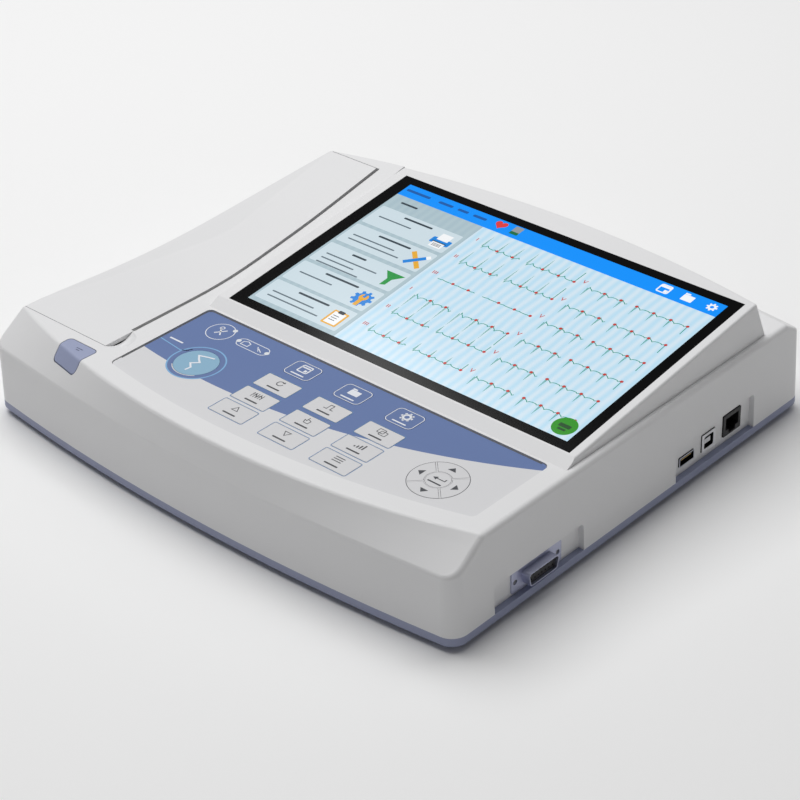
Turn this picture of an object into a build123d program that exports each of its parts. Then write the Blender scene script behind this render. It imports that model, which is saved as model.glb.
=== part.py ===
"""Twelve-channel ECG machine: low housing, tilted display, printer under a side lid.

Millimetres, +Z up.  The origin is on the table under the middle of the housing,
+X runs right along the front, +Y runs to the rear.
"""
import math
import os

from build123d import *

os.makedirs("parts", exist_ok=True)

# ---- housing -------------------------------------------------------------
HALF_WIDTH = 176.0
FRONT_MIDDLE = -160.0        # the front wall bows outward in plan
FRONT_CORNER = -149.0
REAR_MIDDLE = 160.0          # so does the rear wall
REAR_CORNER = 147.5
PLAN_CORNER_RADIUS = 10.0
FOOT_HEIGHT = 3.0
SEAM_Z = 8.6                 # tray below, top shell above
WALL = 2.5
WALL_DRAFT = 0.034           # inward lean of the walls, mm per mm of height
DECK_Z = 59.0

# sloped band between the walls and the deck
CREASE_Z = 43.5
DECK_FRONT_MIDDLE = -152.5
DECK_FRONT_CORNER = -124.0
REAR_CREASE_Z = 51.6
DECK_REAR_MIDDLE = 144.9
DECK_REAR_CORNER = 131.1

# ---- raised display pod and lid ------------------------------------------
TILT = 7.23                  # degrees
SLOPE = math.tan(math.radians(TILT))
GLASS_FRONT_Y = -48.0
GLASS_FRONT_Z = 63.0
POD_LEFT = -90.0
POD_RIGHT = 170.0
POD_FOOT_Y = -57.0
LID_EDGE_X = -104.5          # right edge of the lid along the paper slit
LID_TAB_X = -102.6           # right edge at the finger notch
SLIT_X = -101.9              # body side of the paper slit
LID_FRONT = -124.1
LID_REAR = 98.5
LID_GAP = 0.4
HINGE_X = -170.0
HINGE_Z = 44.2
BARREL_RADIUS = 4.4
LID_FOOT_Z = 39.4            # top of the left wall under the hinge barrel

# ---- display -------------------------------------------------------------
GLASS_WIDTH = 247.0
GLASS_LENGTH = 151.2
GLASS_THICKNESS = 1.8
GLASS_X = 41.0
LCD_WIDTH = 231.4
LCD_LENGTH = 138.8

# ---- keypad --------------------------------------------------------------
OVERLAY_LEFT = -87.4
OVERLAY_RIGHT = 160.8
OVERLAY_REAR = -58.6
OVERLAY_MARGIN = 11.5        # from the front edge of the deck
OVERLAY_TOP = 58.3
OVERLAY_THICKNESS = 0.8
KEY_WIDTH = 24.6
KEY_DEPTH = 13.0
FUNCTION_WIDTH = 18.8
FUNCTION_DEPTH = 14.6
KEY_COLUMNS = (0.2, 37.5, 74.8)
KEY_ROWS = (-91.9, -108.4, -124.5)
FUNCTION_ROW = -72.4
START_X = -50.8
START_Y = -103.7
START_RADIUS = 12.8
PAD_X = 125.6
PAD_Y = -103.4
PAD_RADIUS = 15.9
ENTER_RADIUS = 6.6
KEY_GAP = 0.2
KEY_TRAVEL = 0.5

# ---- printer -------------------------------------------------------------
PLATEN_X = -109.2
PLATEN_Z = 49.5
PLATEN_RADIUS = 6.0
PLATEN_FRONT = -120.8
PLATEN_REAR = 89.4
ROLL_X = -140.0
ROLL_Z = 33.0
ROLL_RADIUS = 21.0
GEAR_MODULE = 0.8
GEAR_FRONT = 90.2
GEAR_WIDTH = 3.6
PLATEN_TEETH = 20
IDLER_TEETH = 24
PINION_TEETH = 12
MESH_GAP = 0.05
# the idler lies straight under the platen gear as seen from the lid's swing
SWING = math.hypot(PLATEN_X - HINGE_X, PLATEN_Z - HINGE_Z)
PLATEN_MESH = GEAR_MODULE * (PLATEN_TEETH + IDLER_TEETH) / 2 + MESH_GAP
IDLER_X = PLATEN_X + PLATEN_MESH * (PLATEN_Z - HINGE_Z) / SWING
IDLER_Z = PLATEN_Z - PLATEN_MESH * (PLATEN_X - HINGE_X) / SWING
PINION_MESH = GEAR_MODULE * (IDLER_TEETH + PINION_TEETH) / 2 + MESH_GAP
PINION_Z = 27.0
PINION_X = IDLER_X + math.sqrt(PINION_MESH ** 2 - (IDLER_Z - PINION_Z) ** 2)

# ---- side and rear sockets -------------------------------------------------
PORT_X = 172.2               # back wall of the two side recesses
PATIENT_Y = -83.9
PATIENT_Z = 16.1
PATIENT_RECESS = (-119.4, -49.3, 25.0)
DATA_RECESS = (29.0, 100.8, 30.0)
USB_A = (42.4, 16.4)
USB_B = (62.2, 18.0)
LAN = (83.7, 19.4)
REAR_PANEL_Y = 146.0
INLET = (125.0, 28.0)
ROCKER = (92.0, 28.0)
EARTH = (72.0, 28.0)


def plan(inset, height):
    """Rounded four-sided plan of the housing with bowed front and rear."""
    with BuildSketch(Plane.XY.offset(height)) as outline:
        with BuildLine():
            w = HALF_WIDTH - inset
            front = FRONT_CORNER + inset
            rear = REAR_CORNER - inset
            ThreePointArc((-w, front), (0, FRONT_MIDDLE + inset), (w, front))
            Line((w, front), (w, rear))
            ThreePointArc((w, rear), (0, REAR_MIDDLE - inset), (-w, rear))
            Line((-w, rear), (-w, front))
        make_face()
        fillet(outline.vertices(), PLAN_CORNER_RADIUS - 0.6 * min(inset, 8.0))
    return outline.sketch


def bowed(front_corner, front_middle, rear_corner, rear_middle, height):
    """Face whose front and rear edges are arcs through the named depths."""
    w = HALF_WIDTH
    with BuildSketch(Plane.XY.offset(height)) as face:
        with BuildLine():
            ThreePointArc((-w, front_corner), (0, front_middle), (w, front_corner))
            Line((w, front_corner), (w, rear_corner))
            ThreePointArc((w, rear_corner), (0, rear_middle), (-w, rear_corner))
            Line((-w, rear_corner), (-w, front_corner))
        make_face()
    return face.sketch


def lean(z):
    """Inward lean of a wall at height z."""
    return WALL_DRAFT * (z - FOOT_HEIGHT)


def along(z0, v0, z1, v1, z):
    """Value at height z on the line through (z0, v0) and (z1, v1)."""
    return v0 + (v1 - v0) * (z - z0) / (z1 - z0)


def bands(inset):
    """Block bounded by the sloped bands under the front and rear deck edges."""
    with BuildPart() as block:
        for z in (28.0, 74.5):
            front_c = along(CREASE_Z, FRONT_CORNER + lean(CREASE_Z), DECK_Z, DECK_FRONT_CORNER, z)
            front_m = along(CREASE_Z, FRONT_MIDDLE + lean(CREASE_Z), DECK_Z, DECK_FRONT_MIDDLE, z)
            rear_c = along(REAR_CREASE_Z, 142.8, DECK_Z, DECK_REAR_CORNER, z)
            rear_m = along(REAR_CREASE_Z, 155.3, DECK_Z, DECK_REAR_MIDDLE, z)
            step = 1.4 * inset
            add(bowed(front_c + step, front_m + step, rear_c - step, rear_m - step, z))
        loft(ruled=True)
        with BuildSketch(Plane.XY.offset(0)):
            Rectangle(2 * HALF_WIDTH, 400)
        extrude(amount=28.0)
    return block.part


def left_flank(inset):
    """Block whose left side is the twisted flank outside the lid."""
    with BuildPart() as block:
        for y, top_x, top_z in ((-165.0, -180.3, 54.8), (165.0, -134.1, 88.2)):
            run = top_x + 176.0
            rise = top_z - CREASE_Z
            x0 = -176.0 + 1.3 * inset
            with BuildSketch(Plane.XZ.offset(-y)):
                with BuildLine():
                    Polyline(
                        (x0, CREASE_Z),
                        (x0 + 2.0 * run, CREASE_Z + 2.0 * rise),
                        (200, CREASE_Z + 2.0 * rise),
                        (200, CREASE_Z),
                        close=True,
                    )
                make_face()
        loft(ruled=True)
        with BuildSketch(Plane.XY.offset(0)):
            Rectangle(400, 330)
        extrude(amount=CREASE_Z)
    return block.part


def pod_block(inset):
    """Raised wedge under the display, with a short slope up from the keypad."""
    with BuildPart() as block:
        with BuildSketch(Plane.YZ.offset(POD_LEFT + inset)):
            with BuildLine():
                top = GLASS_FRONT_Z - inset
                Polyline(
                    (POD_FOOT_Y + inset, DECK_Z - 6),
                    (POD_FOOT_Y + inset, DECK_Z - inset),
                    (GLASS_FRONT_Y - 1.6 + inset, top - 1.6 * SLOPE),
                    (160, top + SLOPE * (160 - GLASS_FRONT_Y)),
                    (160, DECK_Z - 6),
                    close=True,
                )
            make_face()
        extrude(amount=POD_RIGHT - POD_LEFT - 2 * inset, taper=0)
    return block.part


def lid_block(inset):
    """Raised band along the left: level at the front, curving up to the pod."""
    with BuildPart() as block:
        with BuildSketch(Plane.YZ.offset(-190)):
            with BuildLine():
                Spline(
                    (-60, DECK_Z - inset), (-24, 60.6 - inset), (10, 65.2 - inset),
                    (36, 69.3 - inset), (60, 73.8 - inset), (98.5, 81.6 - inset),
                    tangents=((1, 0), (1, 0.2)),
                )
                Line((98.5, 81.6 - inset), (160, 93.9 - inset))
                Line((160, 93.9 - inset), (160, DECK_Z - 6))
                Line((160, DECK_Z - 6), (-60, DECK_Z - 6))
                Line((-60, DECK_Z - 6), (-60, DECK_Z - inset))
            make_face()
        extrude(amount=190 + POD_LEFT - inset)
    return block.part


def facet_block(inset):
    """Gently tilted facet along the left edge of the lid."""
    with BuildPart() as block:
        with BuildSketch(Plane.YZ.offset(-176)):
            with BuildLine():
                Line((-170, 60.5 - inset), (-123.5, 58.9 - inset))
                Spline(
                    (-123.5, 58.9 - inset), (-82, 57.2 - inset), (-40, 56.5 - inset),
                    (-5, 58.4 - inset), (36, 64.5 - inset), (98.5, 77.0 - inset),
                    tangents=((1, -0.035), (1, 0.2)),
                )
                Line((98.5, 77.0 - inset), (170, 91.3 - inset))
                Line((170, 91.3 - inset), (170, -120))
                Line((170, -120), (-170, -120))
                Line((-170, -120), (-170, 60.5 - inset))
            make_face()
        extrude(amount=360, dir=(1, 0, 0.14))
        with BuildSketch(Plane.XY.offset(-60)):
            with Locations((20, 0)):
                Rectangle(400, 340)
        extrude(amount=60 + 40)
    return block.part


def rear_slope(inset):
    """Block bounded by the leaning bowed wall behind the pod and the lid."""
    with BuildPart() as block:
        for z, left, middle, right in ((50.0, 112.1, 132.5, 120.1), (90.0, 94.9, 115.3, 102.9)):
            with BuildSketch(Plane.XY.offset(z)):
                with BuildLine():
                    ThreePointArc((-143.4, left - inset), (39, middle - inset), (168.3, right - inset))
                    Line((168.3, right - inset), (190, right - 4 - inset))
                    Line((190, right - 4 - inset), (190, -170))
                    Line((190, -170), (-190, -170))
                    Line((-190, -170), (-190, left - 8 - inset))
                    Line((-190, left - 8 - inset), (-143.4, left - inset))
                make_face()
        loft(ruled=True)
    return block.part


def housing(inset):
    """Solid volume of the closed housing, shrunk by a wall thickness."""
    with BuildPart() as raised:
        add(pod_block(inset))
        add(lid_block(inset))
        add(rear_slope(inset), mode=Mode.INTERSECT)
    with BuildPart() as body:
        add(plan(inset + lean(SEAM_Z), SEAM_Z))
        add(plan(inset + lean(DECK_Z - inset), DECK_Z - inset))
        loft(ruled=True)
        add(bands(inset), mode=Mode.INTERSECT)
        add(raised.part)
        add(left_flank(inset), mode=Mode.INTERSECT)
        add(facet_block(inset), mode=Mode.INTERSECT)
    return body.part


def overlay_face(gap, height):
    """Keypad sheet outline: straight sides, front edge parallel to the deck edge."""
    rise = DECK_FRONT_CORNER - DECK_FRONT_MIDDLE
    deck_radius = (HALF_WIDTH ** 2 + rise ** 2) / (2 * rise)
    width = OVERLAY_RIGHT - OVERLAY_LEFT - 2 * gap
    with BuildSketch(Plane.XY.offset(height)) as face:
        with Locations(((OVERLAY_LEFT + OVERLAY_RIGHT) / 2, OVERLAY_REAR - gap - 60)):
            Rectangle(width, 120)
        with Locations((0, DECK_FRONT_MIDDLE + deck_radius)):
            Circle(deck_radius - OVERLAY_MARGIN - gap, mode=Mode.INTERSECT)
        fillet(face.vertices(), 3.5)
    return face.sketch


def key_face(kind, x, y, grow, height):
    """Outline of one key, enlarged by grow on every side."""
    with BuildSketch(Plane.XY.offset(height)) as face:
        with Locations((x, y)):
            if kind == "bar":
                RectangleRounded(KEY_WIDTH + 2 * grow, KEY_DEPTH + 2 * grow, 0.8 + grow)
            elif kind == "function":
                RectangleRounded(FUNCTION_WIDTH + 2 * grow, FUNCTION_DEPTH + 2 * grow, 3.2 + grow)
            elif kind == "start":
                Circle(START_RADIUS + grow)
            elif kind == "enter":
                Circle(ENTER_RADIUS + grow)
            else:
                angle = {"right": 0, "up": 90, "left": 180, "down": 270}[kind]
                Circle(PAD_RADIUS + grow)
                Circle(ENTER_RADIUS + 0.8 - grow, mode=Mode.SUBTRACT)
                with Locations(Location((0, 0, 0), (0, 0, angle))):
                    Polygon((0, 0), (20, -20), (20, 20), align=None, mode=Mode.INTERSECT)
                for turn in (45, -45):
                    Rectangle(40, 1.2 - 2 * grow, rotation=turn, mode=Mode.SUBTRACT)
    return face.sketch


def stem_point(kind, x, y):
    """Centre of the plunger under a key."""
    shift = {"right": (11.5, 0), "up": (0, 11.5), "left": (-11.5, 0), "down": (0, -11.5)}
    dx, dy = shift.get(kind, (0, 0))
    return x + dx, y + dy


KEYS = {"key_start": ("start", START_X, START_Y)}
for name, column in zip(("layout", "archive", "settings"), KEY_COLUMNS):
    KEYS["key_" + name] = ("function", column, FUNCTION_ROW)
for names, row in zip(
    (("refresh", "calibrate", "copy"), ("speed", "mode", "gain"), ("lead_up", "lead_down", "menu")),
    KEY_ROWS,
):
    for name, column in zip(names, KEY_COLUMNS):
        KEYS["key_" + name] = ("bar", column, row)
for name in ("up", "down", "left", "right", "enter"):
    KEYS["key_" + name] = (name, PAD_X, PAD_Y)

LED_POINTS = ((-59.0, -66.3), (-50.0, -72.2), (-28.0, -72.2))
CASE_SCREWS = ((-160, -134), (0, -149), (158, -130), (-158, 116), (0, 140), (160, 122))
FEET = ((-148, -118), (148, -118), (-148, 104), (148, 112))
GLASS_PLANE = Plane(
    origin=(
        GLASS_X,
        GLASS_FRONT_Y + GLASS_LENGTH / 2 * math.cos(math.radians(TILT)),
        GLASS_FRONT_Z + GLASS_LENGTH / 2 * math.sin(math.radians(TILT)),
    ),
    x_dir=(1, 0, 0),
    z_dir=(0, -math.sin(math.radians(TILT)), math.cos(math.radians(TILT))),
)
DISPLAY_POSTS = ((-123.3, -69), (123.3, -69), (-123.3, 69), (123.3, 69))
BOARD_POSTS = ((-81, -66), (-81, -126), (147.5, -66), (147.5, -122), (18.8, -127))
BATTERY = (10.0, -100.0, 140.0, 74.0)       # centre x, centre y, width, depth
MAIN_BOARD = (64.0, 20.0, 200.0, 146.0)
SUPPLY_BOARD = (-10.0, 118.0, 110.0, 34.0)
INPUT_BOARD = (132.0, -88.0, 56.0, 50.0)
STANDOFF_TOP = 10.8
DOOR_SCREWS = (BATTERY[0] - BATTERY[2] / 2 - 4.5, BATTERY[0] + BATTERY[2] / 2 + 4.5)


def block(x0, x1, y0, y1, z0, z1):
    """Box from its six limits."""
    with BuildPart() as solid:
        with Locations(((x0 + x1) / 2, (y0 + y1) / 2, (z0 + z1) / 2)):
            Box(x1 - x0, y1 - y0, z1 - z0)
    return solid.part


def rod(x, z, y0, y1, radius):
    """Round bar along Y."""
    with BuildPart() as solid:
        with BuildSketch(Plane.XZ.offset(-y0)):
            with Locations((x, z)):
                Circle(radius)
        extrude(amount=-(y1 - y0))
    return solid.part


def peg(x, y, z0, z1, radius):
    """Upright round bar."""
    with BuildPart() as solid:
        with BuildSketch(Plane.XY.offset(z0)):
            with Locations((x, y)):
                Circle(radius)
        extrude(amount=z1 - z0)
    return solid.part


def corners(board, margin):
    """Four fixing points near the corners of a board."""
    x, y, width, depth = board
    return [
        (x + sx * (width / 2 - margin), y + sy * (depth / 2 - margin))
        for sx in (-1, 1)
        for sy in (-1, 1)
    ]


def socket_window(y, z, width, height, depth, corner):
    """Opening through the right-hand recess wall."""
    with BuildPart() as cut:
        with BuildSketch(Plane.YZ.offset(PORT_X - depth)):
            with Locations((y, z)):
                RectangleRounded(width, height, corner)
        extrude(amount=depth + 2)
    return cut.part


BUTTON_PLAN = ((-124.0, -131.0), (-101.0, -131.0), (-101.6, -148.8), (-123.2, -145.2))


def button_plan(gap, height):
    """Outline of the lid release button seen from above."""
    with BuildSketch(Plane.XY.offset(height)) as face:
        Polygon(*BUTTON_PLAN, align=None)
        fillet(face.vertices(), 2.6)
        if gap:
            offset(amount=gap)
    return face.sketch


# points on the outer edges that are rounded off, each with its radius
SOFT_EDGES = (
    ((0, DECK_FRONT_MIDDLE, DECK_Z), 3.0),
    ((0, FRONT_MIDDLE + lean(CREASE_Z), CREASE_Z), 3.0),
    ((6.1, DECK_REAR_MIDDLE, DECK_Z), 2.0),
    ((POD_RIGHT, 28.1, 72.7), 1.5),
    ((39.3, 117.9, 84.0), 1.5),
    ((POD_LEFT, 21.1, 66.9), 0.8),
    ((-174.6, 7.4, 45.6), 2.0),
)


def softened(body):
    """Housing volume with its long outer edges rounded."""
    for place, radius in SOFT_EDGES:
        edge = body.edges().sort_by(lambda e: (e.center() - Vector(*place)).length)[0]
        body = body.fillet(radius, [edge])
    return body


OUTER = softened(housing(0))
CORE = housing(WALL)

# ---- base tray -------------------------------------------------------------
with BuildPart() as tray_hollow:
    add(plan(WALL + 0.3, FOOT_HEIGHT + 3.0))
    extrude(amount=10)
    add(block(165, 180, -124, -44, 0, 30), mode=Mode.SUBTRACT)
    add(block(165, 180, 24, 106, 0, 30), mode=Mode.SUBTRACT)

with BuildPart() as tray_lip:
    add(plan(WALL + 0.6, FOOT_HEIGHT + 1.0))
    extrude(amount=8)
    add(plan(WALL + 2.2, FOOT_HEIGHT + 1.0))
    extrude(amount=8, mode=Mode.SUBTRACT)
    add(block(160, 180, -124, -44, 0, 30), mode=Mode.SUBTRACT)
    add(block(160, 180, 24, 106, 0, 30), mode=Mode.SUBTRACT)
    add(block(52, 158, 130, 170, 0, 30), mode=Mode.SUBTRACT)
    for x, y in CASE_SCREWS:
        add(peg(x, y, 0, 30, 6.0), mode=Mode.SUBTRACT)

with BuildPart() as base_tray:
    add(plan(0, FOOT_HEIGHT))
    add(plan(lean(SEAM_Z), SEAM_Z))
    loft(ruled=True)
    fillet(base_tray.faces().sort_by(Axis.Z)[0].edges(), 1.6)
    add(tray_hollow.part, mode=Mode.SUBTRACT)
    add(tray_lip.part)
    for x, y in CASE_SCREWS:
        add(peg(x, y, 4, 8.8, 4.6))
    for x, y in CASE_SCREWS:
        add(peg(x, y, 0, 10, 1.7), mode=Mode.SUBTRACT)
        add(peg(x, y, 0, 5.4, 3.2), mode=Mode.SUBTRACT)
    for x, y in corners(MAIN_BOARD, 6) + corners(SUPPLY_BOARD, 5) + corners(INPUT_BOARD, 5):
        add(peg(x, y, 5, STANDOFF_TOP, 3.0))
    for x, y in FEET:
        add(peg(x, y, 0, 4.3, 5.0), mode=Mode.SUBTRACT)
    bx, by, bw, bd = BATTERY
    add(block(bx - bw / 2 - 8, bx + bw / 2 + 8, by - bd / 2 - 3, by + bd / 2 + 3, 0, 10), mode=Mode.SUBTRACT)
    with BuildSketch(Plane.XY.offset(5.0)):
        with Locations((bx, by)):
            Rectangle(bw + 22, bd + 12)
            Rectangle(bw + 1, bd + 1, mode=Mode.SUBTRACT)
    extrude(amount=15)
    for x in DOOR_SCREWS:
        add(peg(x, by, 4, 14, 1.25), mode=Mode.SUBTRACT)

# ---- battery door and pack -----------------------------------------------------
with BuildPart() as battery_door:
    add(block(bx - bw / 2 - 7.8, bx + bw / 2 + 7.8, by - bd / 2 - 2.8, by + bd / 2 + 2.8, 3.0, 5.0))
    for i in range(5):
        add(block(bx - 20, bx + 20, by - 12 + 5 * i, by - 10 + 5 * i, 2.0, 3.6), mode=Mode.SUBTRACT)
    for x in DOOR_SCREWS:
        add(peg(x, by, 0, 12, 1.4), mode=Mode.SUBTRACT)

with BuildPart() as battery_pack:
    add(block(bx - bw / 2 + 0.2, bx + bw / 2 - 0.2, by - bd / 2 + 0.2, by + bd / 2 - 0.2, 5.2, 27))
    fillet(battery_pack.edges().filter_by(Axis.X), 2.0)

# ---- top shell -----------------------------------------------------------------
with BuildPart() as fittings:
    recess0, recess1, recess_top = PATIENT_RECESS
    add(block(PORT_X - WALL, 180, recess0 - 2.5, recess1 + 2.5, SEAM_Z, recess_top + 2.5))
    data0, data1, data_top = DATA_RECESS
    add(block(PORT_X - WALL, 180, data0 - 2.5, data1 + 2.5, SEAM_Z, data_top + 2.5))
    add(block(56, 154, REAR_PANEL_Y - WALL, 165, SEAM_Z, 47))
    add(block(-93, 170, -150, -56, 54.8, 57.8))
    add(block(-102, -92, -128, -101, 54.8, 57.8))
    for x, y in CASE_SCREWS:
        add(peg(x, y, 9.0, 60, 4.0))
    for x, y in BOARD_POSTS:
        add(peg(x, y, 53.6, 57, 2.4))
    add(block(-88, -85.5, -118, 86, 41.2, 58))
    for y in (-112, -20, 40):
        add(block(-102, -85.5, y - 3, y + 3, 41.2, 43.4))
    add(block(-180, SLIT_X, -127, LID_FRONT - LID_GAP, 37.0, 60))
    add(block(-180, SLIT_X + 1, LID_REAR + LID_GAP, LID_REAR + LID_GAP + 2.5, 37.0, 90))
    add(rod(HINGE_X, HINGE_Z, -140, LID_FRONT - LID_GAP, BARREL_RADIUS))
    add(rod(HINGE_X, HINGE_Z, LID_REAR + LID_GAP, 112, BARREL_RADIUS))
    add(block(-128, -100, -160, -127, 37.0, 39.6))
    with BuildSketch(GLASS_PLANE.offset(-5)):
        Rectangle(GLASS_WIDTH + 6, GLASS_LENGTH + 6)
    extrude(amount=4)
    with Locations(GLASS_PLANE.offset(-8.1)):
        with Locations(*DISPLAY_POSTS):
            Cylinder(2.6, 6.2)
    add(OUTER, mode=Mode.INTERSECT)

with BuildPart() as top_shell:
    add(OUTER)
    add(CORE, mode=Mode.SUBTRACT)
    add(fittings.part)
    # lid opening, paper slit and finger notch
    add(block(-190, SLIT_X, -103.0, LID_REAR + LID_GAP, LID_FOOT_Z, 100), mode=Mode.SUBTRACT)
    add(block(-190, LID_TAB_X + LID_GAP, LID_FRONT - LID_GAP, -102.0, LID_FOOT_Z, 100), mode=Mode.SUBTRACT)
    with Locations((-103, -114.3, 74.2)):
        Sphere(18.2, mode=Mode.SUBTRACT)
    # glass pocket and window
    with BuildSketch(GLASS_PLANE.offset(-GLASS_THICKNESS)):
        Rectangle(GLASS_WIDTH + 0.6, GLASS_LENGTH + 0.6)
    extrude(amount=12, mode=Mode.SUBTRACT)
    with BuildSketch(GLASS_PLANE.offset(-5.0)):
        Rectangle(LCD_WIDTH + 5, LCD_LENGTH + 5)
    extrude(amount=6, mode=Mode.SUBTRACT)
    # keypad recess, key pockets and plunger holes
    add(overlay_face(0, OVERLAY_TOP - OVERLAY_THICKNESS))
    extrude(amount=5, mode=Mode.SUBTRACT)
    for kind, x, y in KEYS.values():
        add(key_face(kind, x, y, 0.3, 56.4))
        extrude(amount=2, mode=Mode.SUBTRACT)
        sx, sy = stem_point(kind, x, y)
        add(peg(sx, sy, 52, 58, 3.3), mode=Mode.SUBTRACT)
    for x, y in LED_POINTS:
        add(peg(x, y, 52, 58, 1.6), mode=Mode.SUBTRACT)
    # side recesses and their sockets
    for y0, y1, top in (PATIENT_RECESS, DATA_RECESS):
        with BuildSketch(Plane.YZ.offset(PORT_X)):
            with Locations(((y0 + y1) / 2, (top - 20) / 2)):
                RectangleRounded(y1 - y0, top + 20, 2.5)
        extrude(amount=10, mode=Mode.SUBTRACT)
    add(socket_window(PATIENT_Y, PATIENT_Z, 25.6, 11.0, 6, 2), mode=Mode.SUBTRACT)
    for y in (PATIENT_Y - 16.66, PATIENT_Y + 16.66):
        add(socket_window(y, PATIENT_Z, 3.1, 3.1, 6, 1.5), mode=Mode.SUBTRACT)
    add(socket_window(*USB_A, 13.5, 6.1, 6, 0.5), mode=Mode.SUBTRACT)
    add(socket_window(*USB_B, 12.5, 11.4, 6, 0.5), mode=Mode.SUBTRACT)
    add(socket_window(*LAN, 16.4, 13.9, 6, 0.5), mode=Mode.SUBTRACT)
    # rear recess for the mains side
    add(block(60, 150, REAR_PANEL_Y, 170, 12, 44), mode=Mode.SUBTRACT)
    with BuildSketch(Plane.XZ.offset(-REAR_PANEL_Y + 4)):
        with Locations(INLET):
            RectangleRounded(27.6, 20.2, 2)
        with Locations(ROCKER):
            Rectangle(13.4, 19.6)
        with Locations(EARTH):
            Circle(3.0)
    extrude(amount=-6, mode=Mode.SUBTRACT)
    # release button, latch and screws
    add(button_plan(0.5, 39.7))
    extrude(amount=25, mode=Mode.SUBTRACT)
    add(block(-125, -115, -130, -124, 47.9, 51.4), mode=Mode.SUBTRACT)
    for x, y in CASE_SCREWS:
        add(peg(x, y, 8, 20, 1.5), mode=Mode.SUBTRACT)
    add(rod(HINGE_X, HINGE_Z, -134, LID_FRONT, 2.0), mode=Mode.SUBTRACT)
    add(rod(HINGE_X, HINGE_Z, LID_REAR, 108, 2.0), mode=Mode.SUBTRACT)

# ---- printer lid ---------------------------------------------------------------
with BuildPart() as lid_space:
    add(block(-190, LID_EDGE_X, LID_FRONT, LID_REAR, HINGE_Z, 100))
    add(block(-190, LID_TAB_X, LID_FRONT, -103.4, HINGE_Z, 100))

with BuildPart() as lid_fittings:
    add(block(-127, LID_EDGE_X, -123.9, -121.4, 43.0, 60))
    add(block(-118, LID_EDGE_X, 94.6, 96.6, 43.0, 90))
    add(OUTER, mode=Mode.INTERSECT)

with BuildPart() as printer_lid:
    add(OUTER)
    add(CORE, mode=Mode.SUBTRACT)
    add(lid_space.part, mode=Mode.INTERSECT)
    add(lid_fittings.part)
    add(rod(HINGE_X, HINGE_Z, LID_FRONT + 0.2, LID_REAR - 0.2, BARREL_RADIUS))
    add(rod(HINGE_X, HINGE_Z, LID_FRONT, LID_FRONT + 12, 2.05), mode=Mode.SUBTRACT)
    add(rod(HINGE_X, HINGE_Z, LID_REAR - 12, LID_REAR, 2.05), mode=Mode.SUBTRACT)
    add(rod(PLATEN_X, PLATEN_Z, -125, 98, 3.05), mode=Mode.SUBTRACT)
    add(block(-124.5, -115.5, -125, -120, 48.0, 51.3), mode=Mode.SUBTRACT)

with BuildPart() as hinge_pins:
    add(rod(HINGE_X, HINGE_Z, -133.8, LID_FRONT + 11, 2.0))
    add(rod(HINGE_X, HINGE_Z, LID_REAR - 11, 107.8, 2.0))

# ---- platen and paper drive ------------------------------------------------------
with BuildPart() as platen_rubber:
    add(rod(PLATEN_X, PLATEN_Z, PLATEN_FRONT, PLATEN_REAR, PLATEN_RADIUS))
    add(rod(PLATEN_X, PLATEN_Z, PLATEN_FRONT, PLATEN_REAR, 3.0), mode=Mode.SUBTRACT)

with BuildPart() as platen_shaft:
    add(rod(PLATEN_X, PLATEN_Z, -123.6, 96.4, 3.0))


def gear(x, z, teeth, bore, phase):
    """Spur gear with straight-flanked teeth, its axis along Y."""
    pitch_radius = GEAR_MODULE * teeth / 2
    points = []
    for i in range(teeth):
        for rise, share in ((-0.9, -0.30), (0.7, -0.10), (0.7, 0.10), (-0.9, 0.30)):
            angle = phase + (i + share) * 2 * math.pi / teeth
            radius = pitch_radius + rise
            points.append((x + radius * math.cos(angle), z + radius * math.sin(angle)))
    with BuildPart() as wheel:
        with BuildSketch(Plane.XZ.offset(-GEAR_FRONT)):
            Polygon(*points, align=None)
            with Locations((x, z)):
                Circle(bore, mode=Mode.SUBTRACT)
        extrude(amount=-GEAR_WIDTH)
    return wheel.part


to_idler = math.atan2(IDLER_Z - PLATEN_Z, IDLER_X - PLATEN_X)
to_pinion = math.atan2(PINION_Z - IDLER_Z, PINION_X - IDLER_X)
idler_step = 2 * math.pi / IDLER_TEETH
pinion_step = 2 * math.pi / PINION_TEETH
idler_phase = to_idler + math.pi + idler_step / 2
tooth_share = ((to_pinion - idler_phase) / idler_step) % 1.0
pinion_phase = to_pinion + math.pi + (tooth_share + 0.5) * pinion_step

with BuildPart() as platen_gear:
    add(gear(PLATEN_X, PLATEN_Z, PLATEN_TEETH, 3.0, to_idler))

with BuildPart() as idler_gear:
    add(gear(IDLER_X, IDLER_Z, IDLER_TEETH, 1.95, idler_phase))

with BuildPart() as motor_pinion:
    add(gear(PINION_X, PINION_Z, PINION_TEETH, 1.5, pinion_phase))
    add(rod(PINION_X, PINION_Z, 84.2, GEAR_FRONT + GEAR_WIDTH + 0.6, 1.5))

with BuildPart() as stepper_motor:
    add(rod(PINION_X, PINION_Z, 60, 84, 13.5))
    fillet(stepper_motor.edges(), 0.8)
    add(rod(PINION_X, PINION_Z, 58, 60, 5.0))

with BuildPart() as motor_bracket:
    add(block(-112, -78, 84, 86, 6, 41))
    add(block(-112, -78, 68, 84, 6, 8))
    add(rod(PINION_X, PINION_Z, 83, 87, 2.2), mode=Mode.SUBTRACT)
    add(rod(IDLER_X, IDLER_Z, 86, GEAR_FRONT + GEAR_WIDTH + 1.2, 1.9))
    add(rod(IDLER_X, IDLER_Z, 86, GEAR_FRONT - 0.2, 3.2))

# ---- thermal printhead -------------------------------------------------------------
with BuildPart() as printhead_ceramic:
    add(block(-103.1, -102.1, -120, 88, 43.5, 53.5))

with BuildPart() as printhead_heatsink:
    add(block(-102.1, -99.6, -120, 88, 43.5, 53.5))
    for z in (43.5, 46.3, 49.1, 51.9):
        add(block(-99.6, -96.0, -120, 88, z, z + 1.4))


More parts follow.
